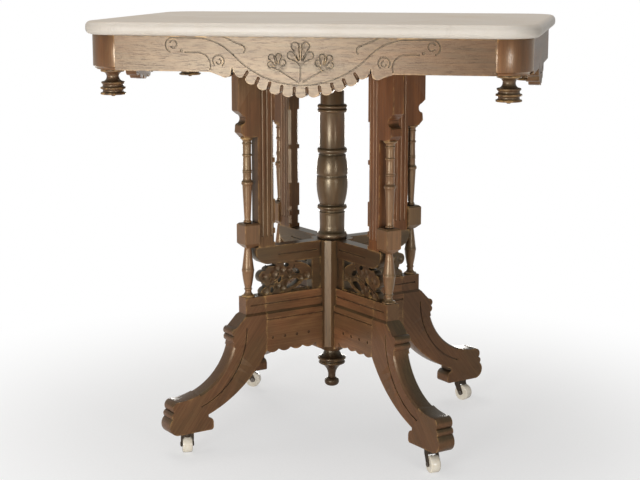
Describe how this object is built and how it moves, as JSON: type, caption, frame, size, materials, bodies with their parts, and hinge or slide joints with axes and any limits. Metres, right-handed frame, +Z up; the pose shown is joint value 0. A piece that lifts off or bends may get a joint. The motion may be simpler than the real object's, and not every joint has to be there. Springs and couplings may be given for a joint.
{
  "type": "parlor table",
  "caption": "Marble-topped parlor table with a scalloped carved apron, a turned centre column in pierced crossed wings, and sabre legs on porcelain casters.",
  "frame": {"origin": "on the floor under the axis of the centre column", "axes": "+X along the table's long side to the right, front faces -Y, +Z up"},
  "size_m": [0.762, 0.546, 0.752],
  "materials": {
    "marble": "honed, with a faint vein",
    "walnut_apron": "old shellac, satin",
    "walnut_carcase": "old shellac, satin",
    "walnut_turned": "old shellac, half gloss",
    "walnut_inside": "sawn, unfinished",
    "socket_brass": "dull, aged",
    "horn_iron": "dark, aged",
    "axle_steel": "dull, aged",
    "wheel_porcelain": "glazed, worn on the tread"
  },
  "bodies": {
    "frame": {"marble_top": "marble", "apron_front": "walnut_apron", "apron_back": "walnut_apron", "apron_left": "walnut_carcase", "apron_right": "walnut_carcase", "corner_block_fl": "walnut_carcase", "corner_block_fr": "walnut_carcase", "corner_block_bl": "walnut_carcase", "corner_block_br": "walnut_carcase", "corner_drop_fl": "walnut_turned", "corner_drop_fr": "walnut_turned", "corner_drop_bl": "walnut_turned", "corner_drop_br": "walnut_turned", "bearer_left": "walnut_inside", "bearer_right": "walnut_inside", "bearer_centre": "walnut_inside", "column": "walnut_turned", "centre_post": "walnut_carcase", "finial": "walnut_turned", "upright_fl": "walnut_carcase", "upright_fr": "walnut_carcase", "upright_bl": "walnut_carcase", "upright_br": "walnut_carcase", "spindle_fl": "walnut_turned", "spindle_fr": "walnut_turned", "spindle_bl": "walnut_turned", "spindle_br": "walnut_turned", "fret_panel_fl": "walnut_carcase", "fret_panel_fr": "walnut_carcase", "fret_panel_bl": "walnut_carcase", "fret_panel_br": "walnut_carcase", "lower_rail_fl": "walnut_carcase", "lower_rail_fr": "walnut_carcase", "lower_rail_bl": "walnut_carcase", "lower_rail_br": "walnut_carcase", "leg_fl": "walnut_carcase", "leg_fr": "walnut_carcase", "leg_bl": "walnut_carcase", "leg_br": "walnut_carcase", "caster_socket_fl": "socket_brass", "caster_socket_fr": "socket_brass", "caster_socket_bl": "socket_brass", "caster_socket_br": "socket_brass"},
    "horn_fl": {"caster_horn_fl": "horn_iron", "caster_axle_fl": "axle_steel"},
    "wheel_fl": {"caster_wheel_fl": "wheel_porcelain"},
    "horn_fr": {"caster_horn_fr": "horn_iron", "caster_axle_fr": "axle_steel"},
    "wheel_fr": {"caster_wheel_fr": "wheel_porcelain"},
    "horn_bl": {"caster_horn_bl": "horn_iron", "caster_axle_bl": "axle_steel"},
    "wheel_bl": {"caster_wheel_bl": "wheel_porcelain"},
    "horn_br": {"caster_horn_br": "horn_iron", "caster_axle_br": "axle_steel"},
    "wheel_br": {"caster_wheel_br": "wheel_porcelain"}
  },
  "joints": [
    {"name": "caster_swivel_fl", "type": "hinge", "parent": "frame", "child": "horn_fl", "pos_m": [-0.21496, -0.21496, 0.041], "axis": [0, 0, 1], "continuous": true},
    {"name": "wheel_roll_fl", "type": "hinge", "parent": "horn_fl", "child": "wheel_fl", "pos_m": [-0.21833, -0.20662, 0.015], "axis": [-0.9272, -0.3746, 0], "continuous": true},
    {"name": "caster_swivel_fr", "type": "hinge", "parent": "frame", "child": "horn_fr", "pos_m": [0.21496, -0.21496, 0.041], "axis": [0, 0, 1], "continuous": true},
    {"name": "wheel_roll_fr", "type": "hinge", "parent": "horn_fr", "child": "wheel_fr", "pos_m": [0.21946, -0.22275, 0.015], "axis": [0.866, 0.5, 0], "continuous": true},
    {"name": "caster_swivel_bl", "type": "hinge", "parent": "frame", "child": "horn_bl", "pos_m": [-0.21496, 0.21496, 0.041], "axis": [0, 0, 1], "continuous": true},
    {"name": "wheel_roll_bl", "type": "hinge", "parent": "horn_bl", "child": "wheel_bl", "pos_m": [-0.20599, 0.21574, 0.015], "axis": [-0.0872, 0.9962, 0], "continuous": true},
    {"name": "caster_swivel_br", "type": "hinge", "parent": "frame", "child": "horn_br", "pos_m": [0.21496, 0.21496, 0.041], "axis": [0, 0, 1], "continuous": true},
    {"name": "wheel_roll_br", "type": "hinge", "parent": "horn_br", "child": "wheel_br", "pos_m": [0.22275, 0.21046, 0.015], "axis": [0.5, 0.866, 0], "continuous": true}
  ]
}
